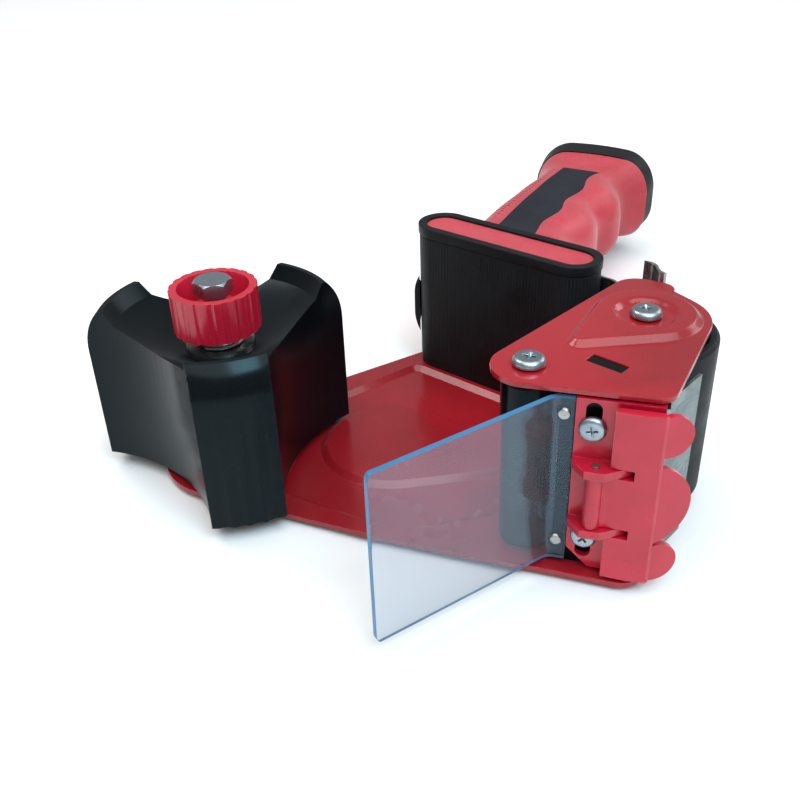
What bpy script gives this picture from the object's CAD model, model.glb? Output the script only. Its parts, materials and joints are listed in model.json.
import json
import math

import bmesh
import bpy
from bpy.props import FloatProperty, FloatVectorProperty, PointerProperty
from mathutils import Matrix, Vector


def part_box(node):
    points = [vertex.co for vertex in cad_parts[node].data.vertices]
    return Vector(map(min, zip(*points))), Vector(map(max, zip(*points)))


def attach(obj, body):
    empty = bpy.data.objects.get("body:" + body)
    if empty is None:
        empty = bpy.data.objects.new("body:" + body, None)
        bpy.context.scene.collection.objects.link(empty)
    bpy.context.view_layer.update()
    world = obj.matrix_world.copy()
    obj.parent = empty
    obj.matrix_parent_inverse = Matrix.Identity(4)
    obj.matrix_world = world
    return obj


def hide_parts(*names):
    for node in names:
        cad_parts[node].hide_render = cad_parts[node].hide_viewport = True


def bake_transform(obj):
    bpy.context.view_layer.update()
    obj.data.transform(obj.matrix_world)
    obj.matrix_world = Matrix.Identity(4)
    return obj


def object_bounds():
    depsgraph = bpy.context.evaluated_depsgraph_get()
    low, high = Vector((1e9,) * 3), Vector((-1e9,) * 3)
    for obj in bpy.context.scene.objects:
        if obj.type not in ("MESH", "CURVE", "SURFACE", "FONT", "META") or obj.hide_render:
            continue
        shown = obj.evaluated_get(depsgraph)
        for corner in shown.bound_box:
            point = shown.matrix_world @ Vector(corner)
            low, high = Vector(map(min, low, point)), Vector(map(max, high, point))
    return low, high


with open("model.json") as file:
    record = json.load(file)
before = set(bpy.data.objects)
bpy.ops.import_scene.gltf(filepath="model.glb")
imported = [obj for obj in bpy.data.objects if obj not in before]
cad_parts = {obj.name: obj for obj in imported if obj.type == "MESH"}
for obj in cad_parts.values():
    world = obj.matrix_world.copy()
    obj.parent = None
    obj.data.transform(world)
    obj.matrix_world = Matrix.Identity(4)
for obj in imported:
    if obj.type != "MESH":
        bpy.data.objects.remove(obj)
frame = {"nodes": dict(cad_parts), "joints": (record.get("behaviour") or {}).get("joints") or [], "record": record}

bl_info = {
    "name": "Tape Gun Builder",
    "version": (1, 0, 0),
    "blender": (4, 5, 0),
    "location": "3D View > Sidebar > Tape Gun",
    "description": "Builds the visible pieces and finishes of a hand-held tape gun round its fixed frame",
    "category": "Add Mesh",
}

CAD_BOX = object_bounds()
MM = 0.001
NODES = frame["nodes"]
BODIES = frame["record"]["behaviour"]["bodies"]
BODY_OF = {node: body for body, members in BODIES.items() for node in members}
JOINTS = {joint["name"]: joint for joint in frame["joints"]}
WORKING_EDGE = Vector((88.555, 42.748, 0.0)) * MM   # where the outer plate's working edge starts
EDGE_ALONG = Vector((-0.2351, 0.9720, 0.0))
EDGE_OUT = Vector((0.9720, 0.2351, 0.0))
LOBE_TURN = 44.0            # direction of the hub's first lobe, in degrees
LOBE_PITCH = 120.0          # from one lobe to the next
FLUTE_PITCH = 6.6           # from one flute of a lobe end to the next


# sizes and colours --------------------------------------------------------------------
def colour(name, description, value):
    return FloatVectorProperty(
        name=name, description=description, default=value, subtype="COLOR", size=3, min=0.0, max=1.0
    )


def length(name, description, value):
    return FloatProperty(name=name, description=description, default=value, unit="LENGTH", min=0.0)


class TapeGunColours(bpy.types.PropertyGroup):
    """Main colours of the tape gun's finishes."""

    paint: colour("Paint", "Enamel on the two pressed plates", (0.37, 0.010, 0.018))
    paint_deep: colour("Paint in corners", "Enamel where it has pooled", (0.25, 0.005, 0.010))
    moulding: colour("Red moulding", "Knob, guard and bracket", (0.60, 0.008, 0.036))
    moulding_deep: colour("Red moulding, deep", "Thicker parts of the red mouldings", (0.46, 0.005, 0.024))
    grip: colour("Grip rubber", "Soft rubber of the hand grip", (0.52, 0.034, 0.054))
    grip_deep: colour("Grip rubber, handled", "Grip rubber where hands have darkened it", (0.40, 0.020, 0.034))
    black: colour("Black moulding", "Hub and other gloss black mouldings", (0.0020, 0.0028, 0.0034))
    black_bloom: colour("Black bloom", "Bloom on the gloss black mouldings", (0.0030, 0.0048, 0.0062))
    rubber: colour("Black rubber", "Roller, post and handle ends", (0.0035, 0.0040, 0.0046))
    rubber_dust: colour("Rubber dust", "Dry dust lying on the rubber", (0.0075, 0.0082, 0.0095))
    inlay: colour("Inlay", "Dark inlays of the grip", (0.0060, 0.0074, 0.0125))
    inlay_worn: colour("Inlay, worn", "Inlays where they are handled", (0.0125, 0.0145, 0.0220))
    zinc: colour("Zinc plate", "Screws, bolt and nut", (0.42, 0.49, 0.53))
    steel: colour("Steel", "Blade, strap and axles", (0.50, 0.50, 0.49))
    steel_dark: colour("Steel, dark", "Oil film on the steel", (0.27, 0.27, 0.27))
    blade: colour("Blade", "Dull steel of the toothed blade", (0.20, 0.25, 0.25))
    blade_dark: colour("Blade, dark", "Oil film on the blade", (0.13, 0.17, 0.17))
    nylon: colour("Nylon", "Bushes and washers", (0.66, 0.65, 0.60))
    clear: colour("Clear sheet", "Tint through the flap", (0.82, 0.86, 0.91))
    clear_edge: colour("Clear sheet edge", "Cut edge of the flap", (0.06, 0.21, 0.38))


class TapeGunSizes(bpy.types.PropertyGroup):
    """Sizes of the modelled pieces."""

    plate_edge: length("Plate edge", "Rounding of the pressed plates' edges", 0.45 * MM)
    mould_edge: length("Moulding edge", "Rounding of the plastic mouldings' edges", 0.4 * MM)
    small_edge: length("Small edge", "Rounding of screws and small metal parts", 0.14 * MM)
    flap_thickness: length("Flap thickness", "Thickness of the clear flap", 1.6 * MM)
    flap_bend: length("Flap bend", "Length of the curved part of the flap", 3.6 * MM)
    post_lip: length("Post lip", "Radius of the post rubber's lip", 8.5 * MM)
    post_step: length("Post lip step", "How far the lip stands out", 0.5 * MM)
    post_bore: length("Post bore", "Radius of the hole in the post rubber", 5.74 * MM)
    hub_radius: length("Hub radius", "Radius of the three lobe ends, half a tape core's bore", 38.0 * MM)
    hub_cut: length("Hub waist radius", "Radius of the hollows between the lobes", 50.1 * MM)
    hub_cut_place: length("Hub waist place", "Middle of each hollow from the hub's axis", 69.6 * MM)
    hub_wall: length("Hub wall", "Thickness of the hub's walls", 2.2 * MM)
    hub_bore: length("Hub bore", "Radius of the bush's seat", 7.54 * MM)
    plate_head: length("Plate screw head", "Radius of the outer plate's screw heads", 4.1 * MM)
    bracket_head: length("Bracket screw head", "Radius of the bracket's screw heads", 3.3 * MM)
    bracket_screw_place: length("Bracket screws", "Place of the bracket screws along the working edge",
                                20.4 * MM)
    spring_radius: length("Brake spring radius", "Middle radius of the brake spring", 6.6 * MM)
    spring_wire: length("Brake spring wire", "Radius of the brake spring's wire", 0.6 * MM)
    spring_turns: FloatProperty(name="Brake spring turns", description="Working turns", default=3.5, min=1.0)


class TapeGunStudio(bpy.types.PropertyGroup):
    """Camera and light."""

    azimuth: FloatProperty(name="Azimuth", description="Viewing direction", default=math.radians(121.0),
                           subtype="ANGLE")
    elevation: FloatProperty(name="Elevation", description="Camera above the horizon",
                             default=math.radians(31.7), subtype="ANGLE")
    roll: FloatProperty(name="Roll", description="Camera roll", default=math.radians(-2.1), subtype="ANGLE")
    distance: length("Distance", "Camera to the point looked at", 0.2817)
    target: FloatVectorProperty(name="Target", description="Point looked at", default=(0.0586, -0.0043, 0.0199),
                                subtype="XYZ", unit="LENGTH")
    lens: FloatProperty(name="Lens", description="Focal length in millimetres", default=43.0, min=1.0)
    key_power: FloatProperty(name="Key light", description="Power of the large softbox", default=1.5, min=0.0)
    diffuser: FloatProperty(name="Diffuser", description="Strength of the broad light from above", default=2.3,
                            min=0.0)
    sky: FloatProperty(name="Room light", description="Strength of the even light", default=0.36, min=0.0)


# node groups --------------------------------------------------------------------------
def new_group(name, inputs, outputs):
    group = bpy.data.node_groups.new(name, "ShaderNodeTree")
    for label, value in inputs:
        socket = group.interface.new_socket(name=label, in_out="INPUT", socket_type="NodeSocketFloat")
        socket.default_value = value
    for label in outputs:
        group.interface.new_socket(name=label, in_out="OUTPUT", socket_type="NodeSocketFloat")
    enter = group.nodes.new("NodeGroupInput")
    leave = group.nodes.new("NodeGroupOutput")
    return group, enter, leave


def maths(tree, operation, first, second=None, clamp=False):
    node = tree.nodes.new("ShaderNodeMath")
    node.operation = operation
    node.use_clamp = clamp
    for socket, value in zip(node.inputs, (first, second)):
        if value is None:
            continue
        if isinstance(value, (int, float)):
            socket.default_value = value
        else:
            tree.links.new(value, socket)
    return node.outputs[0]


def object_noise(tree, scale, detail=3.0, rough=0.55, stretch=(1, 1, 1)):
    """Noise on object coordinates; scale is a number or a socket, per metre."""
    place = tree.nodes.new("ShaderNodeTexCoord")
    mapping = tree.nodes.new("ShaderNodeMapping")
    mapping.inputs["Scale"].default_value = stretch
    tree.links.new(place.outputs["Object"], mapping.inputs["Vector"])
    noise = tree.nodes.new("ShaderNodeTexNoise")
    noise.inputs["Detail"].default_value = detail
    noise.inputs["Roughness"].default_value = rough
    tree.links.new(mapping.outputs[0], noise.inputs["Vector"])
    if isinstance(scale, (int, float)):
        noise.inputs["Scale"].default_value = scale
    else:
        tree.links.new(scale, noise.inputs["Scale"])
    return noise.outputs["Fac"]


def ramp(tree, value, low, high, out_low=0.0, out_high=1.0):
    node = tree.nodes.new("ShaderNodeMapRange")
    node.interpolation_type = "SMOOTHSTEP"
    tree.links.new(value, node.inputs["Value"])
    for label, number in (("From Min", low), ("From Max", high), ("To Min", out_low), ("To Max", out_high)):
        if isinstance(number, (int, float)):
            node.inputs[label].default_value = number
        else:
            tree.links.new(number, node.inputs[label])
    return node.outputs["Result"]


def edge_wear_group():
    """Mask that is high on the outer edges of a piece, broken up by noise."""
    group, enter, leave = new_group("Edge Wear", (("Width", 0.0005), ("Amount", 1.0)), ("Mask",))
    rounded = group.nodes.new("ShaderNodeBevel")
    rounded.samples = 4
    group.links.new(enter.outputs["Width"], rounded.inputs["Radius"])
    plain = group.nodes.new("ShaderNodeNewGeometry")
    dot = group.nodes.new("ShaderNodeVectorMath")
    dot.operation = "DOT_PRODUCT"
    group.links.new(rounded.outputs[0], dot.inputs[0])
    group.links.new(plain.outputs["Normal"], dot.inputs[1])
    bent = maths(group, "SUBTRACT", 1.0, dot.outputs["Value"])
    edge = ramp(group, bent, 0.01, 0.12)
    patches = ramp(group, object_noise(group, 420.0, 4.0, 0.6), 0.42, 0.62)
    worn = maths(group, "MULTIPLY", edge, patches)
    group.links.new(maths(group, "MULTIPLY", worn, enter.outputs["Amount"], True), leave.inputs["Mask"])
    return group


def moulded_grain_group():
    """Height of a fine moulded grain over a slow ripple."""
    group, enter, leave = new_group("Moulded Grain", (("Grain Scale", 2200.0), ("Ripple Scale", 60.0),
                                                      ("Ripple Share", 0.5)), ("Height",))
    grain = object_noise(group, enter.outputs["Grain Scale"], 2.0, 0.5)
    ripple = object_noise(group, enter.outputs["Ripple Scale"], 2.0, 0.4)
    rest = maths(group, "SUBTRACT", 1.0, enter.outputs["Ripple Share"])
    fine = maths(group, "MULTIPLY", grain, rest)
    slow = maths(group, "MULTIPLY", ripple, enter.outputs["Ripple Share"])
    group.links.new(maths(group, "ADD", fine, slow), leave.inputs["Height"])
    return group


def smudge_group():
    """Broad patches left by handling, with finer breaks inside them."""
    group, enter, leave = new_group("Smudges", (("Scale", 30.0), ("Low", 0.35), ("High", 0.65)), ("Mask",))
    broad = object_noise(group, enter.outputs["Scale"], 5.0, 0.6)
    mask = ramp(group, broad, enter.outputs["Low"], enter.outputs["High"])
    group.links.new(mask, leave.inputs["Mask"])
    return group


def dust_group():
    """Dry specks and a thin film, thickest on faces that look up."""
    group, enter, leave = new_group("Dust", (("Amount", 0.4), ("Speck Scale", 900.0)), ("Mask",))
    plain = group.nodes.new("ShaderNodeNewGeometry")
    split = group.nodes.new("ShaderNodeSeparateXYZ")
    group.links.new(plain.outputs["Normal"], split.inputs[0])
    upward = ramp(group, split.outputs["Z"], -0.2, 1.0, 0.35, 1.0)
    specks = ramp(group, object_noise(group, enter.outputs["Speck Scale"], 4.0, 0.7), 0.52, 0.72)
    film = ramp(group, object_noise(group, 55.0, 4.0, 0.6), 0.35, 0.75, 0.0, 0.5)
    both = maths(group, "MAXIMUM", specks, film)
    lying = maths(group, "MULTIPLY", both, upward)
    group.links.new(maths(group, "MULTIPLY", lying, enter.outputs["Amount"], True), leave.inputs["Mask"])
    return group


def brushed_group():
    """Long fine scratches along one direction of the object."""
    group, enter, leave = new_group("Brushed", (("Scale", 500.0),), ("Height", "Mask"))
    place = group.nodes.new("ShaderNodeTexCoord")
    mapping = group.nodes.new("ShaderNodeMapping")
    mapping.inputs["Scale"].default_value = (1.0, 1.0, 14.0)
    group.links.new(place.outputs["Object"], mapping.inputs["Vector"])
    lines = group.nodes.new("ShaderNodeTexNoise")
    lines.inputs["Detail"].default_value = 3.0
    group.links.new(enter.outputs["Scale"], lines.inputs["Scale"])
    group.links.new(mapping.outputs[0], lines.inputs["Vector"])
    group.links.new(lines.outputs["Fac"], leave.inputs["Height"])
    group.links.new(ramp(group, lines.outputs["Fac"], 0.38, 0.68), leave.inputs["Mask"])
    return group


GROUPS = {}


def place_group(tree, label, **values):
    node = tree.nodes.new("ShaderNodeGroup")
    node.node_tree = GROUPS[label]
    for key, value in values.items():
        node.inputs[key.replace("_", " ")].default_value = value
    return node.outputs


# materials ----------------------------------------------------------------------------
def start_material(name):
    material = bpy.data.materials.new(name)
    material.use_nodes = True
    tree = material.node_tree
    shader = tree.nodes["Principled BSDF"]
    return material, tree, shader


def mixed(tree, first, second, mask):
    """Colour between two others; each is a colour or a socket."""
    node = tree.nodes.new("ShaderNodeMix")
    node.data_type = "RGBA"
    for socket, value in ((node.inputs["A"], first), (node.inputs["B"], second)):
        if hasattr(value, "is_output"):
            tree.links.new(value, socket)
        else:
            socket.default_value = (*value, 1.0)
    tree.links.new(mask, node.inputs["Factor"])
    return node.outputs["Result"]


def bumped(tree, shader, height, distance, strength=1.0):
    bump = tree.nodes.new("ShaderNodeBump")
    bump.inputs["Strength"].default_value = strength
    bump.inputs["Distance"].default_value = distance
    tree.links.new(height, bump.inputs["Height"])
    tree.links.new(bump.outputs["Normal"], shader.inputs["Normal"])


def set_plain(shader, **values):
    for key, value in values.items():
        shader.inputs[key.replace("_", " ")].default_value = value


def moulded(name, main, second, rough, grain, wear=None, dust=None, smudge_scale=30.0, **plain):
    """Plastic, rubber or enamel: two tones, handling marks, grain, worn edges and dust.

    rough is (lowest, highest); grain is (grain scale, ripple scale, ripple share, depth);
    wear is (colour, width, amount); dust is (colour, amount).
    """
    material, tree, shader = start_material(name)
    set_plain(shader, **plain)
    smudges = place_group(tree, "Smudges", Scale=smudge_scale, Low=0.34, High=0.66)["Mask"]
    base = mixed(tree, main, second, smudges)
    if wear:
        tint, width, amount = wear
        base = mixed(tree, base, tint, place_group(tree, "Edge Wear", Width=width, Amount=amount)["Mask"])
    fine = object_noise(tree, 260.0, 4.0, 0.6)
    blend = maths(tree, "ADD", maths(tree, "MULTIPLY", smudges, 0.6), maths(tree, "MULTIPLY", fine, 0.4))
    roughness = ramp(tree, blend, 0.1, 0.8, rough[0], rough[1])
    if dust:
        tint, amount = dust
        lying = place_group(tree, "Dust", Amount=amount)["Mask"]
        base = mixed(tree, base, tint, lying)
        roughness = maths(tree, "ADD", roughness, maths(tree, "MULTIPLY", lying, 0.3), True)
    tree.links.new(base, shader.inputs["Base Color"])
    tree.links.new(roughness, shader.inputs["Roughness"])
    scale, ripple, share, depth = grain
    height = place_group(tree, "Moulded Grain", Grain_Scale=scale, Ripple_Scale=ripple, Ripple_Share=share)
    bumped(tree, shader, height["Height"], depth)
    return material


def metal(name, main, second, rough, scratches, depth):
    """Plated or bare steel with fine scratches and an uneven film."""
    material, tree, shader = start_material(name)
    shader.inputs["Metallic"].default_value = 1.0
    marks = place_group(tree, "Brushed", Scale=scratches)
    smudges = place_group(tree, "Smudges", Scale=90.0, Low=0.3, High=0.7)["Mask"]
    both = maths(tree, "MULTIPLY", maths(tree, "ADD", marks["Mask"], smudges), 0.5)
    worn = place_group(tree, "Edge Wear", Width=0.0003, Amount=0.8)["Mask"]
    base = mixed(tree, mixed(tree, main, second, both), [min(1.0, c * 1.3) for c in main], worn)
    tree.links.new(base, shader.inputs["Base Color"])
    tree.links.new(ramp(tree, both, 0.0, 1.0, *rough), shader.inputs["Roughness"])
    bumped(tree, shader, marks["Height"], depth, 0.6)
    return material


def clear_sheet(name, tint, tint_deep, transmission, glow=0.0):
    """Clear plastic; its cut edges glow a little with the light they carry."""
    material, tree, shader = start_material(name)
    set_plain(shader, Transmission_Weight=transmission, IOR=1.45, Specular_Tint=(0.34, 0.68, 1.0, 1.0),
              Emission_Color=(0.10, 0.32, 0.62, 1.0), Emission_Strength=glow)
    smudges = place_group(tree, "Smudges", Scale=24.0, Low=0.35, High=0.7)["Mask"]
    tree.links.new(mixed(tree, tint, tint_deep, smudges), shader.inputs["Base Color"])
    scuffs = ramp(tree, object_noise(tree, 160.0, 6.0, 0.7, (1, 1, 5)), 0.56, 0.74)
    haze = maths(tree, "ADD", maths(tree, "MULTIPLY", smudges, 0.02), maths(tree, "MULTIPLY", scuffs, 0.04))
    tree.links.new(maths(tree, "ADD", haze, 0.012), shader.inputs["Roughness"])
    height = place_group(tree, "Moulded Grain", Grain_Scale=300.0, Ripple_Scale=28.0, Ripple_Share=1.0)["Height"]
    bumped(tree, shader, height, 0.000004)
    return material


MATERIALS = {}


def build_finishes(c):
    GROUPS.update({
        "Edge Wear": edge_wear_group(),
        "Moulded Grain": moulded_grain_group(),
        "Smudges": smudge_group(),
        "Dust": dust_group(),
        "Brushed": brushed_group(),
    })
    pale = (0.75, 0.36, 0.36)
    MATERIALS.update({
        "red_paint": moulded(
            "Red enamel", c.paint, c.paint_deep, (0.16, 0.30), (900.0, 70.0, 0.75, 0.00006),
            wear=((0.62, 0.05, 0.06), 0.0006, 0.55), dust=((0.45, 0.22, 0.21), 0.03), smudge_scale=16.0,
            Coat_Weight=0.35, Coat_Roughness=0.10, Specular_IOR_Level=0.45),
        "red_plastic": moulded(
            "Red moulding", c.moulding, c.moulding_deep, (0.20, 0.36), (1600.0, 90.0, 0.55, 0.00004),
            wear=((0.80, 0.16, 0.19), 0.0005, 0.35), smudge_scale=40.0,
            Coat_Weight=0.35, Coat_Roughness=0.12, Subsurface_Weight=0.06, Subsurface_Scale=0.002),
        "soft_red": moulded(
            "Grip rubber", c.grip, c.grip_deep, (0.40, 0.58), (2600.0, 120.0, 0.3, 0.00005),
            wear=(pale, 0.0007, 0.25), dust=((0.72, 0.40, 0.40), 0.14), smudge_scale=26.0,
            Sheen_Weight=0.22, Sheen_Roughness=0.4, Subsurface_Weight=0.05, Subsurface_Scale=0.002),
        "black_plastic": moulded(
            "Gloss black moulding", c.black, c.black_bloom, (0.13, 0.24), (1400.0, 45.0, 0.95, 0.00004),
            wear=((0.02, 0.026, 0.03), 0.0007, 0.4), dust=((0.05, 0.055, 0.06), 0.04), smudge_scale=22.0,
            Specular_IOR_Level=0.17, Specular_Tint=(0.70, 0.92, 1.0, 1.0)),
        "black_rubber": moulded(
            "Black rubber", c.rubber, c.rubber_dust, (0.42, 0.60), (2400.0, 140.0, 0.25, 0.00005),
            wear=((0.022, 0.024, 0.027), 0.0006, 0.5), dust=((0.06, 0.06, 0.064), 0.09), smudge_scale=34.0,
            Specular_IOR_Level=0.22),
        "inlay_black": moulded(
            "Inlay rubber", c.inlay, c.inlay_worn, (0.52, 0.74), (3000.0, 160.0, 0.2, 0.00008),
            wear=((0.04, 0.04, 0.05), 0.0005, 0.4), dust=((0.07, 0.07, 0.08), 0.12), smudge_scale=60.0,
            Specular_IOR_Level=0.28),
        "nylon": moulded(
            "Nylon", c.nylon, (0.50, 0.48, 0.42), (0.34, 0.5), (1500.0, 80.0, 0.4, 0.00004),
            Subsurface_Weight=0.1, Subsurface_Scale=0.002),
        "zinc": metal("Zinc plate", c.zinc, (0.27, 0.32, 0.36), (0.26, 0.46), 700.0, 0.00003),
        "steel": metal("Brushed steel", c.steel, c.steel_dark, (0.22, 0.42), 480.0, 0.00004),
        "dull_steel": metal("Dull steel", c.blade, c.blade_dark, (0.30, 0.50), 300.0, 0.00003),
        "clear_pvc": clear_sheet("Clear sheet", c.clear, (0.76, 0.82, 0.89), 0.95),
        "clear_edge": clear_sheet("Clear sheet edge", c.clear_edge, (0.05, 0.17, 0.32), 0.15, glow=0.10),
    })


# modelling helpers --------------------------------------------------------------------
def nothing_selected():
    if bpy.context.object and bpy.context.object.mode != "OBJECT":
        bpy.ops.object.mode_set(mode="OBJECT")
    bpy.ops.object.select_all(action="DESELECT")


def only(piece):
    nothing_selected()
    piece.select_set(True)
    bpy.context.view_layer.objects.active = piece
    return piece


def added(name):
    """Name the primitive that was just added."""
    piece = bpy.context.object
    piece.name = name
    piece.data.name = name
    return piece


def settle(piece):
    """Put the piece's place, turn and scale into its mesh."""
    only(piece)
    bpy.ops.object.transform_apply(location=True, rotation=True, scale=True)
    return piece


def modify(piece, kind, **values):
    only(piece)
    modifier = piece.modifiers.new(kind.title(), kind)
    for key, value in values.items():
        setattr(modifier, key, value)
    bpy.ops.object.modifier_apply(modifier=modifier.name)
    return piece


def smooth(piece, degrees=35.0):
    only(piece)
    bpy.ops.object.shade_smooth_by_angle(angle=math.radians(degrees))
    return piece


def edit(piece, mode="VERT"):
    only(piece)
    bpy.ops.object.mode_set(mode="EDIT")
    bpy.ops.mesh.select_mode(type=mode)
    bpy.ops.mesh.select_all(action="DESELECT")
    return bmesh.from_edit_mesh(piece.data)


def pick(piece, mesh, items, test):
    for item in items:
        if test(item):
            item.select_set(True)
    mesh.select_flush_mode()
    bmesh.update_edit_mesh(piece.data)


def finished(piece, node_or_body, slot, replaced=()):
    """Hand a piece over: finish, body, and the frame nodes it stands for."""
    piece.data.materials.clear()
    piece.data.materials.append(MATERIALS[slot])
    if replaced:
        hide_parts(*replaced)
    if node_or_body:
        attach(piece, BODY_OF.get(node_or_body, node_or_body))
    return piece


def eased_copy(node, name, slot, edge, segments=2, sharp=32.0):
    """Copy of a frame node with its edges rounded, as pressing and moulding leave them."""
    piece = bpy.data.objects.new(name, NODES[node].data.copy())
    bpy.context.scene.collection.objects.link(piece)
    piece.data.name = name
    only(piece)
    bpy.ops.object.mode_set(mode="EDIT")
    bpy.ops.mesh.select_all(action="SELECT")
    bpy.ops.mesh.customdata_custom_splitnormals_clear()
    bpy.ops.mesh.remove_doubles(threshold=0.000004)
    bpy.ops.mesh.dissolve_limited(angle_limit=math.radians(0.25))
    bpy.ops.mesh.mark_sharp(clear=True)
    bpy.ops.object.mode_set(mode="OBJECT")
    modify(piece, "BEVEL", width=edge, segments=segments, limit_method="ANGLE",
           angle_limit=math.radians(sharp), use_clamp_overlap=True, miter_outer="MITER_ARC")
    smooth(piece, 40.0)
    modify(piece, "WEIGHTED_NORMAL", keep_sharp=True, weight=60)
    return finished(piece, node, slot, (node,))


def close_openings(piece):
    """Fill each open end of the shell being edited and leave the new faces selected."""
    bpy.ops.mesh.select_mode(type="EDGE")
    bpy.ops.mesh.select_all(action="DESELECT")
    bpy.ops.mesh.select_non_manifold(extend=False)
    bpy.ops.mesh.edge_face_add()


def turned(name, profile, around=144):
    """Solid turned about the Z axis; profile gives (radius, height) up the outside, then inwards."""
    nothing_selected()
    radius, height = profile[0]
    bpy.ops.mesh.primitive_circle_add(vertices=around, radius=radius, fill_type="NGON", location=(0, 0, height))
    piece = settle(added(name))
    edit(piece, "FACE")
    bpy.ops.mesh.select_all(action="SELECT")
    for next_radius, next_height in profile[1:]:
        bpy.ops.mesh.extrude_region_move(TRANSFORM_OT_translate={"value": (0, 0, next_height - height)})
        if next_radius != radius:
            grow = next_radius / radius
            bpy.ops.transform.resize(value=(grow, grow, 1.0))
        radius, height = next_radius, next_height
    bpy.ops.mesh.select_all(action="SELECT")
    bpy.ops.mesh.normals_make_consistent(inside=False)
    bpy.ops.object.mode_set(mode="OBJECT")
    return piece


def round_bars(name, places, low_radius, high_radius, low, high, around=128):
    """Upright round bars at places (x, y), as one cutter."""
    nothing_selected()
    bars = []
    for x, y in places:
        bpy.ops.mesh.primitive_cone_add(vertices=around, radius1=low_radius, radius2=high_radius,
                                        depth=high - low, location=(x, y, (low + high) / 2))
        bars.append(added(name))
    for bar in bars:
        bar.select_set(True)
    if len(bars) > 1:
        bpy.ops.object.join()
    return settle(bpy.context.object)


def cut(piece, cutter):
    modify(piece, "BOOLEAN", operation="DIFFERENCE", object=cutter, solver="EXACT")
    bpy.data.objects.remove(cutter)
    return piece


def pan_head_screw(name, head_radius, head_height, shank_radius, shank_length):
    """Cross-recess screw standing at the origin, its head on z = 0."""
    nothing_selected()
    bpy.ops.mesh.primitive_cylinder_add(vertices=40, radius=head_radius, depth=head_height,
                                        location=(0, 0, head_height / 2))
    screw = settle(added(name))
    mesh = edit(screw, "EDGE")
    pick(screw, mesh, mesh.edges, lambda e: all(v.co.z > head_height * 0.9 for v in e.verts))
    bpy.ops.mesh.bevel(offset=head_height * 0.86, segments=8, profile=0.55, affect="EDGES")
    mesh = edit(screw, "FACE")
    pick(screw, mesh, mesh.faces, lambda f: f.normal.z < -0.9 and f.calc_center_median().z < 0.00001)
    bpy.ops.mesh.inset(thickness=head_radius - shank_radius)
    bpy.ops.mesh.extrude_region_move(TRANSFORM_OT_translate={"value": (0, 0, -shank_length)})
    bpy.ops.object.mode_set(mode="OBJECT")
    for turn in (0.0, math.pi / 2):
        nothing_selected()
        bpy.ops.mesh.primitive_cube_add(size=1.0, location=(0, 0, head_height), rotation=(0, 0, turn))
        cutter = added("recess_cutter")
        cutter.scale = (head_radius * 1.05, head_radius * 0.21, head_height * 1.1)
        settle(cutter)
        mesh = edit(cutter, "FACE")
        pick(cutter, mesh, mesh.faces, lambda f: f.normal.z < -0.9)
        bpy.ops.transform.resize(value=(0.62, 0.62, 1.0))
        bpy.ops.object.mode_set(mode="OBJECT")
        modify(screw, "BOOLEAN", operation="DIFFERENCE", object=cutter, solver="EXACT")
        bpy.data.objects.remove(cutter)
    modify(screw, "BEVEL", width=0.05 * MM, segments=1, limit_method="ANGLE", angle_limit=math.radians(50))
    return smooth(screw, 40.0)


def set_screws(name, model, places, slot, node):
    """Copies of one screw at places (point, direction, turn), joined into one piece."""
    copies = []
    for point, direction, turn in places:
        copy = model.copy()
        copy.data = model.data.copy()
        bpy.context.scene.collection.objects.link(copy)
        lean = Vector(direction).to_track_quat("Z", "Y").to_matrix().to_4x4()
        copy.matrix_world = Matrix.Translation(point) @ lean @ Matrix.Rotation(turn, 4, "Z")
        copies.append(copy)
    bpy.data.objects.remove(model)
    nothing_selected()
    for copy in copies:
        copy.select_set(True)
    bpy.context.view_layer.objects.active = copies[0]
    bpy.ops.object.join()
    piece = settle(added(name))
    return finished(piece, node, slot, (node,))


def paint_node(node, slot):
    """Give a frame node that stays as it is its finish."""
    for place in NODES[node].material_slots:
        place.material = MATERIALS[slot]


# operators ----------------------------------------------------------------------------
class Build(bpy.types.Operator):
    """Shared part of the builders."""

    bl_options = {"REGISTER", "UNDO"}
    eased = ()
    kept = ()

    def execute(self, context):
        sizes = context.scene.tape_gun_sizes
        for node, name, slot, edge in self.eased:
            eased_copy(node, name, slot, getattr(sizes, edge))
        for node, slot in self.kept:
            paint_node(node, slot)
        self.model(context, sizes)
        return {"FINISHED"}

    def model(self, context, sizes):
        pass


class TAPEGUN_OT_finishes(bpy.types.Operator):
    """Make the node groups and the materials"""

    bl_idname = "tapegun.finishes"
    bl_label = "Finishes"

    def execute(self, context):
        build_finishes(context.scene.tape_gun_colours)
        return {"FINISHED"}


class TAPEGUN_OT_plates(Build):
    """Round and enamel the two pressed plates"""

    bl_idname = "tapegun.plates"
    bl_label = "Pressed Plates"
    eased = (
        ("frame_plate", "pressed_side_plate", "red_paint", "plate_edge"),
        ("outer_plate", "pressed_outer_plate", "red_paint", "plate_edge"),
    )


class TAPEGUN_OT_rollers(Build):
    """Finish the tape rollers, their axles and bushes"""

    bl_idname = "tapegun.rollers"
    bl_label = "Rollers"
    eased = (
        ("roller_sleeve", "rubber_tape_roller", "black_rubber", "mould_edge"),
        ("guide_roller", "guide_tube", "black_plastic", "mould_edge"),
    )
    kept = (
        ("roller_core", "black_plastic"), ("roller_bushes", "nylon"),
        ("roller_axle", "steel"), ("guide_axle", "steel"),
    )


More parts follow.
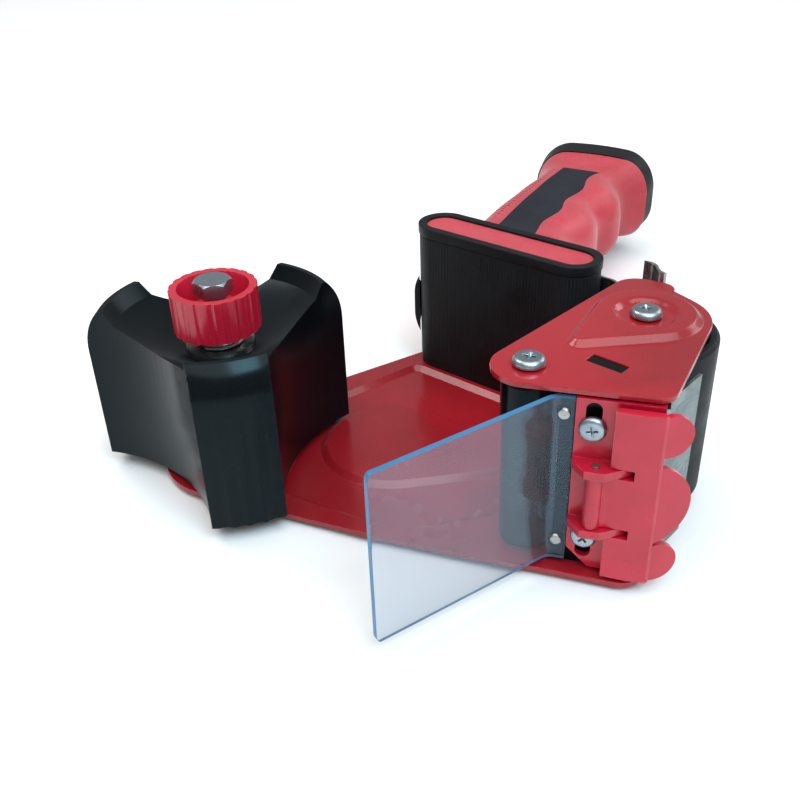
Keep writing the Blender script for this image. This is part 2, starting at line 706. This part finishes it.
class TAPEGUN_OT_post(Build):
    """Finish the oblong post, its rubber sleeve and the tape strap"""

    bl_idname = "tapegun.post"
    bl_label = "Post and Strap"
    eased = (
        ("post_core", "post_block", "soft_red", "mould_edge"),
        ("tape_strap", "corrugated_strap", "steel", "small_edge"),
        ("strap_rivets", "strap_rivet_heads", "steel", "small_edge"),
    )
    kept = (("post_screws", "zinc"),)

    def model(self, context, sizes):
        low, high = (Vector(corner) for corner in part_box("post_sleeve"))
        lip, step = sizes.post_lip, sizes.post_step
        first = Vector((low.x + lip, low.y + lip, low.z))
        run = Vector((high.x - lip - first.x, high.y - lip - first.y, 0.0))
        around = 48
        nothing_selected()
        bpy.ops.mesh.primitive_circle_add(vertices=around, radius=lip - step, location=first,
                                          rotation=(0, 0, math.atan2(run.y, run.x) + math.pi / around))
        rubber = settle(added("post_rubber"))
        mesh = edit(rubber)
        pick(rubber, mesh, mesh.verts, lambda v: (v.co - first).dot(run) > 0)
        bpy.ops.transform.translate(value=run)
        mesh = edit(rubber, "EDGE")
        pick(rubber, mesh, mesh.edges, lambda e: e.calc_length() > 0.01)
        bpy.ops.mesh.subdivide(number_cuts=43)
        bpy.ops.mesh.select_all(action="SELECT")
        height = high.z - low.z
        for rise in (2.6 * MM, height - 6.2 * MM, 0.6 * MM, 3.0 * MM):
            bpy.ops.mesh.extrude_region_move(TRANSFORM_OT_translate={"value": (0, 0, rise)})
        bpy.ops.mesh.select_all(action="SELECT")
        bpy.ops.mesh.normals_make_consistent(inside=False)
        ribs_low, ribs_high = low.z + 2.6 * MM, high.z - 3.6 * MM
        mesh = edit(rubber, "FACE")
        outward = sum((f.normal.dot(f.calc_center_median() - first - run / 2) for f in mesh.faces))
        if outward < 0:
            bpy.ops.mesh.select_all(action="SELECT")
            bpy.ops.mesh.flip_normals()
            bpy.ops.mesh.select_all(action="DESELECT")
            mesh = bmesh.from_edit_mesh(rubber.data)
        pick(rubber, mesh, mesh.faces, lambda f: f.calc_center_median().z > high.z - 3.0 * MM)
        bpy.ops.mesh.extrude_region_shrink_fatten(TRANSFORM_OT_shrink_fatten={"value": step})
        mesh = edit(rubber, "FACE")
        pick(rubber, mesh, mesh.faces, lambda f: ribs_low < f.calc_center_median().z < ribs_high)
        bpy.ops.mesh.inset(thickness=0.20 * MM, depth=0.16 * MM, use_individual=True)
        close_openings(rubber)
        mesh = edit(rubber, "FACE")
        flat = [f for f in mesh.faces if abs(f.normal.z) > 0.9 and len(f.verts) > 20]
        pick(rubber, mesh, flat, lambda f: True)
        bpy.ops.mesh.inset(thickness=lip - step - sizes.post_bore)
        bpy.ops.mesh.bridge_edge_loops()
        bpy.ops.mesh.select_all(action="SELECT")
        bpy.ops.mesh.normals_make_consistent(inside=False)
        bpy.ops.object.mode_set(mode="OBJECT")
        modify(rubber, "BEVEL", width=0.32 * MM, segments=3, limit_method="ANGLE", angle_limit=math.radians(62))
        smooth(rubber, 38.0)
        finished(rubber, "post_sleeve", "black_rubber", ("post_sleeve",))


class TAPEGUN_OT_handle(Build):
    """Finish the handle: grip rubber, inlays, end cap and collar"""

    bl_idname = "tapegun.handle"
    bl_label = "Handle"
    eased = (
        ("grip_sleeve", "soft_grip", "soft_red", "mould_edge"),
        ("end_cap", "handle_end_cap", "black_rubber", "mould_edge"),
        ("collar", "handle_collar", "black_rubber", "mould_edge"),
        ("inlay_top", "grip_inlay_upper", "inlay_black", "small_edge"),
        ("inlay_bottom", "grip_inlay_lower", "inlay_black", "small_edge"),
    )
    kept = (("handle_core", "black_plastic"),)


class TAPEGUN_OT_core_hub(Build):
    """Model the three-lobed hub that carries the tape roll"""

    bl_idname = "tapegun.core_hub"
    bl_label = "Core Hub"
    kept = (("hub_bush", "nylon"), ("hub_boss", "steel"), ("thrust_washer", "nylon"))

    def model(self, context, sizes):
        low, high = (corner[2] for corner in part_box("hub"))
        hub = self.lobed("three_lobed_hub", sizes, low, high, 0.0)
        hollow = self.lobed("hub_hollow", sizes, low - 3.0 * MM, high, sizes.hub_wall)
        cut(hollow, round_bars("boss_bar", [(0, 0)], 10.0 * MM, 10.0 * MM, low - 9.0 * MM, high))
        cut(hub, hollow)
        bore = sizes.hub_bore
        cut(hub, round_bars("bore_bar", [(0, 0)], bore, bore, low - 9.0 * MM, high, 96))
        reach = sizes.hub_radius + 4.1 * MM
        for pair in ((-1.5, 0.5), (-0.5, 1.5)):
            turns = [math.radians(LOBE_TURN + LOBE_PITCH * i + FLUTE_PITCH * k) for i in range(3) for k in pair]
            places = [(reach * math.cos(a), reach * math.sin(a)) for a in turns]
            cut(hub, round_bars("flute_bar", places, 4.55 * MM, 4.2 * MM, low - 0.5 * MM, 38.5 * MM, 72))
        edit(hub)
        bpy.ops.mesh.select_all(action="SELECT")
        bpy.ops.mesh.remove_doubles(threshold=0.12 * MM)
        bpy.ops.mesh.dissolve_limited(angle_limit=math.radians(0.3))
        bpy.ops.object.mode_set(mode="OBJECT")
        modify(hub, "BEVEL", width=sizes.mould_edge, segments=3, limit_method="ANGLE",
               angle_limit=math.radians(34), use_clamp_overlap=True)
        smooth(hub, 24.0)
        modify(hub, "WEIGHTED_NORMAL", keep_sharp=True, weight=60)
        axis = JOINTS["hub_spin"]["pos_m"]
        hub.location = (axis[0], axis[1], 0.0)
        settle(hub)
        finished(hub, "hub", "black_plastic", ("hub",))

    def lobed(self, name, sizes, low, high, drop):
        """Turned blank with a dished top and three hollows cut down its sides."""
        side = sizes.hub_radius - drop
        shoulder = Vector((side, 39.5 * MM))
        middle = Vector((side - 1.3 * MM, high - 5.9 * MM - drop / 2))
        crest = Vector((side - 5.2 * MM + drop / 2, high - drop))
        profile = [(side, low), tuple(shoulder)]
        for i in range(1, 11):
            t = i / 10
            spot = shoulder * (2 * t - 1) * (t - 1) + middle * 4 * t * (1 - t) + crest * t * (2 * t - 1)
            profile.append(tuple(spot))
        top = high - drop
        profile += [(31.4 * MM, top), (28.6 * MM, top - 4.0 * MM), (10.4 * MM, top - 11.5 * MM)]
        piece = turned(name, profile)
        turns = [math.radians(LOBE_TURN + LOBE_PITCH * (i + 0.5)) for i in range(3)]
        places = [(sizes.hub_cut_place * math.cos(a), sizes.hub_cut_place * math.sin(a)) for a in turns]
        radius = sizes.hub_cut + drop
        return cut(piece, round_bars("waist_bar", places, radius, radius, low - 5.0 * MM, high + 5.0 * MM))


class TAPEGUN_OT_brake(Build):
    """Model the brake spring and finish the knob, nut, washers and bolt"""

    bl_idname = "tapegun.brake"
    bl_label = "Tension Brake"
    eased = (
        ("brake_knob", "tension_knob", "red_plastic", "mould_edge"),
        ("knob_nut", "knob_hex_nut", "zinc", "small_edge"),
        ("hub_bolt", "hub_hex_bolt", "zinc", "small_edge"),
    )
    kept = (("friction_washer", "steel"), ("spring_seat", "steel"))

    def model(self, context, sizes):
        low, high = (Vector(corner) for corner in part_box("brake_spring"))
        middle = (low + high) / 2
        rise = high.z - low.z - 2 * sizes.spring_wire
        turns = int(math.ceil(sizes.spring_turns))
        nothing_selected()
        bpy.ops.mesh.primitive_circle_add(vertices=12, radius=sizes.spring_wire,
                                          location=(sizes.spring_radius, 0, 0), rotation=(math.pi / 2, 0, 0))
        spring = settle(added("coil_spring"))
        modify(spring, "SCREW", axis="Z", angle=2 * math.pi * turns, screw_offset=rise, steps=40 * turns,
               render_steps=40 * turns, use_smooth_shade=True, use_merge_vertices=False)
        edit(spring)
        bpy.ops.mesh.select_all(action="SELECT")
        bpy.ops.mesh.remove_doubles(threshold=0.00001)
        bpy.ops.mesh.select_all(action="DESELECT")
        bpy.ops.mesh.select_mode(type="EDGE")
        bpy.ops.mesh.select_non_manifold(extend=False)
        bpy.ops.mesh.edge_face_add()
        bpy.ops.mesh.select_all(action="SELECT")
        bpy.ops.mesh.normals_make_consistent(inside=False)
        bpy.ops.object.mode_set(mode="OBJECT")
        spring.location = (middle.x, middle.y, low.z + sizes.spring_wire)
        settle(spring)
        finished(spring, None, "steel", ("brake_spring",))
        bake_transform(spring)


class TAPEGUN_OT_blade_group(Build):
    """Finish the cutter block, bracket, blade and guard"""

    bl_idname = "tapegun.blade_group"
    bl_label = "Blade and Guard"
    eased = (
        ("cutter_block", "cutter_mount", "black_plastic", "mould_edge"),
        ("blade_bracket", "slotted_bracket", "red_plastic", "small_edge"),
        ("blade_guard", "thumb_guard", "red_plastic", "mould_edge"),
        ("blade", "toothed_blade", "steel", "small_edge"),
        ("hinge_pin", "guard_hinge_pin", "steel", "small_edge"),
    )
    kept = (("guard_spring", "steel"),)

    def model(self, context, sizes):
        bpy.data.objects["toothed_blade"].data.materials[0] = MATERIALS["dull_steel"]


class TAPEGUN_OT_fixings(Build):
    """Finish the visible screws and pins"""

    bl_idname = "tapegun.fixings"
    bl_label = "Fixings"
    eased = (("flap_pins", "flap_push_pins", "steel", "small_edge"),)

    def model(self, context, sizes):
        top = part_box("plate_screws")[1][2]
        height = sizes.plate_head * 0.46
        places = []
        for node, turn in (("roller_axle", 0.45), ("guide_axle", 0.1)):
            low, high = (Vector(corner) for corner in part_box(node))
            places.append((Vector(((low.x + high.x) / 2, (low.y + high.y) / 2, top - height)), (0, 0, 1), turn))
        model = pan_head_screw("pan_screw", sizes.plate_head, height, 1.9 * MM, 3.0 * MM)
        set_screws("plate_pan_screws", model, places, "zinc", "plate_screws")
        low, high = (Vector(corner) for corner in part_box("bracket_screws"))
        head = sizes.bracket_head
        outer = WORKING_EDGE + EDGE_ALONG * sizes.bracket_screw_place + EDGE_OUT * 0.54 * MM
        places = [(Vector((outer.x, outer.y, z)), EDGE_OUT, turn)
                  for z, turn in ((low.z + head, 0.7), (high.z - head, 0.2))]
        model = pan_head_screw("pan_screw", head, head * 0.5, 1.4 * MM, 2.0 * MM)
        set_screws("bracket_cross_screws", model, places, "zinc", "bracket_screws")


class TAPEGUN_OT_flap(Build):
    """Model the clear flap as one bent sheet across its flexing line"""

    bl_idname = "tapegun.flap"
    bl_label = "Clear Flap"

    def model(self, context, sizes):
        clamp_low, clamp_high = (Vector(corner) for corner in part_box("flap_root"))
        flap_low, flap_high = (Vector(corner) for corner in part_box("tape_flap"))
        bend = Vector(JOINTS["flap_flex"]["pos_m"])
        low, high = flap_low.z, flap_high.z
        clamp_mid = (clamp_low + clamp_high) / 2
        inward = Vector((clamp_mid.x - bend.x, clamp_mid.y - bend.y, 0))
        inward.normalize()
        outward = Vector((flap_high.x - bend.x, flap_low.y - bend.y, 0))
        reach = outward.length
        outward.normalize()
        base = Vector((bend.x, bend.y, 0))
        half_turn = sizes.flap_bend / 2
        path = [base + inward * 4.7 * MM]
        steps = 8
        start, finish = base + inward * half_turn, base + outward * half_turn
        for i in range(steps + 1):
            t = i / steps
            path.append(start * (1 - t) ** 2 + base * 2 * t * (1 - t) + finish * t * t)
        path += [base + outward * reach * share for share in (0.12, 0.3, 0.5, 0.7, 0.85, 0.97)]
        path.append(base + outward * (reach - 0.3 * MM))
        nothing_selected()
        first = path[1] - path[0]
        strip_middle = (path[0] + path[1]) / 2 + Vector((0, 0, (low + high) / 2))
        bpy.ops.mesh.primitive_plane_add(size=1.0, location=strip_middle,
                                         rotation=(math.pi / 2, 0, math.atan2(first.y, first.x)))
        flap = added("clear_flap")
        flap.scale = (first.length, high - low, 1.0)
        settle(flap)
        mesh = edit(flap, "EDGE")
        here = path[1]
        pick(flap, mesh, mesh.edges, lambda e: all((v.co.xy - here.xy).length < 0.00001 for v in e.verts))
        for a, b in zip(path[1:], path[2:]):
            bpy.ops.mesh.extrude_region_move(TRANSFORM_OT_translate={"value": b - a})
        bpy.ops.mesh.select_mode(type="VERT")
        bpy.ops.mesh.bevel(offset=2.2 * MM, segments=6, affect="VERTICES")
        bpy.ops.object.mode_set(mode="OBJECT")
        for label in ("clear_pvc", "clear_edge"):
            flap.data.materials.append(MATERIALS[label])
        modify(flap, "SOLIDIFY", thickness=sizes.flap_thickness, offset=0.0, use_rim=True, material_offset_rim=1,
               use_even_offset=True)
        modify(flap, "BEVEL", width=0.18 * MM, segments=2, limit_method="ANGLE", angle_limit=math.radians(60))
        smooth(flap, 30.0)
        modify(flap, "WEIGHTED_NORMAL", keep_sharp=True, weight=60)
        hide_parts("flap_root", "tape_flap")
        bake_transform(flap)


class TAPEGUN_OT_studio(bpy.types.Operator):
    """Set the pale floor, the soft light and the camera"""

    bl_idname = "tapegun.studio"
    bl_label = "Studio"

    def execute(self, context):
        studio = context.scene.tape_gun_studio
        context.scene.view_settings.view_transform = "Standard"
        self.floor()
        world = bpy.data.worlds.new("Room")
        context.scene.world = world
        world.use_nodes = True
        sky = world.node_tree.nodes["Background"]
        sky.inputs["Color"].default_value = (0.95, 0.97, 1.0, 1.0)
        sky.inputs["Strength"].default_value = studio.sky
        centre = Vector(studio.target)
        softbox = (
            ("key_softbox", (0.05, -0.45, 0.62), (0.34, 0.34), studio.key_power, (1.0, 0.99, 0.97)),
            ("window_softbox", (0.28, 0.34, 0.50), (0.22, 0.20), studio.key_power * 0.9, (0.42, 0.80, 1.0)),
            ("back_softbox", (-0.50, 0.30, 0.40), (0.40, 0.24), studio.key_power * 0.5, (1.0, 1.0, 1.0)),
        )
        for name, place, size, power, tint in softbox:
            light = bpy.data.lights.new(name, "AREA")
            light.shape = "RECTANGLE"
            light.size, light.size_y = size
            light.energy = power
            light.color = tint
            lamp = bpy.data.objects.new(name, light)
            context.scene.collection.objects.link(lamp)
            lamp.location = place
            lamp.rotation_euler = (centre - Vector(place)).to_track_quat("-Z", "Y").to_euler()
        sun = bpy.data.lights.new("overhead_diffuser", "SUN")
        sun.energy = studio.diffuser
        sun.angle = math.radians(70.0)
        overhead = bpy.data.objects.new("overhead_diffuser", sun)
        overhead.rotation_euler = (math.radians(-14.0), math.radians(12.0), 0.0)
        context.scene.collection.objects.link(overhead)
        self.camera(context, studio)
        return {"FINISHED"}

    def floor(self):
        nothing_selected()
        bpy.ops.mesh.primitive_plane_add(size=6.0, location=(0, 0, CAD_BOX[0][2] - 0.0001))
        floor = added("pale_floor")
        material, tree, shader = start_material("Pale floor")
        tone = ramp(tree, object_noise(tree, 2.0, 3.0, 0.5), 0.2, 0.8)
        tree.links.new(mixed(tree, (0.90, 0.90, 0.90), (0.93, 0.93, 0.93), tone), shader.inputs["Base Color"])
        shader.inputs["Roughness"].default_value = 0.75
        floor.data.materials.append(material)

    def camera(self, context, studio):
        data = bpy.data.cameras.new("Studio camera")
        data.lens = studio.lens
        data.sensor_width = 36.0
        data.clip_start = 0.005
        camera = bpy.data.objects.new("studio_camera", data)
        context.scene.collection.objects.link(camera)
        a, e = studio.azimuth, studio.elevation
        forward = Vector((-math.sin(a) * math.cos(e), math.cos(a) * math.cos(e), -math.sin(e)))
        right = Vector((math.cos(a), math.sin(a), 0.0))
        up = right.cross(forward)
        aim = Matrix((right, up, -forward)).transposed() @ Matrix.Rotation(studio.roll, 3, "Z")
        stand = Matrix.Translation(Vector(studio.target) - forward * studio.distance)
        camera.matrix_world = stand @ aim.to_4x4()
        context.scene.camera = camera


OPERATORS = (
    TAPEGUN_OT_finishes, TAPEGUN_OT_plates, TAPEGUN_OT_rollers, TAPEGUN_OT_post, TAPEGUN_OT_handle,
    TAPEGUN_OT_core_hub, TAPEGUN_OT_brake, TAPEGUN_OT_blade_group, TAPEGUN_OT_fixings, TAPEGUN_OT_flap,
    TAPEGUN_OT_studio,
)


class TAPEGUN_PT_panel(bpy.types.Panel):
    """Builders of the tape gun's pieces"""

    bl_label = "Tape Gun"
    bl_idname = "TAPEGUN_PT_panel"
    bl_space_type = "VIEW_3D"
    bl_region_type = "UI"
    bl_category = "Tape Gun"

    def draw(self, context):
        column = self.layout.column(align=True)
        for operator in OPERATORS:
            column.operator(operator.bl_idname)


CLASSES = (TapeGunColours, TapeGunSizes, TapeGunStudio, *OPERATORS, TAPEGUN_PT_panel)


def register():
    for cls in CLASSES:
        bpy.utils.register_class(cls)
    bpy.types.Scene.tape_gun_colours = PointerProperty(type=TapeGunColours)
    bpy.types.Scene.tape_gun_sizes = PointerProperty(type=TapeGunSizes)
    bpy.types.Scene.tape_gun_studio = PointerProperty(type=TapeGunStudio)


def unregister():
    for label in ("tape_gun_colours", "tape_gun_sizes", "tape_gun_studio"):
        delattr(bpy.types.Scene, label)
    for cls in reversed(CLASSES):
        bpy.utils.unregister_class(cls)


def main():
    register()
    for operator in OPERATORS:
        group, call = operator.bl_idname.split(".")
        getattr(getattr(bpy.ops, group), call)()
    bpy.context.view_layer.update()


if __name__ == "__main__":
    main()
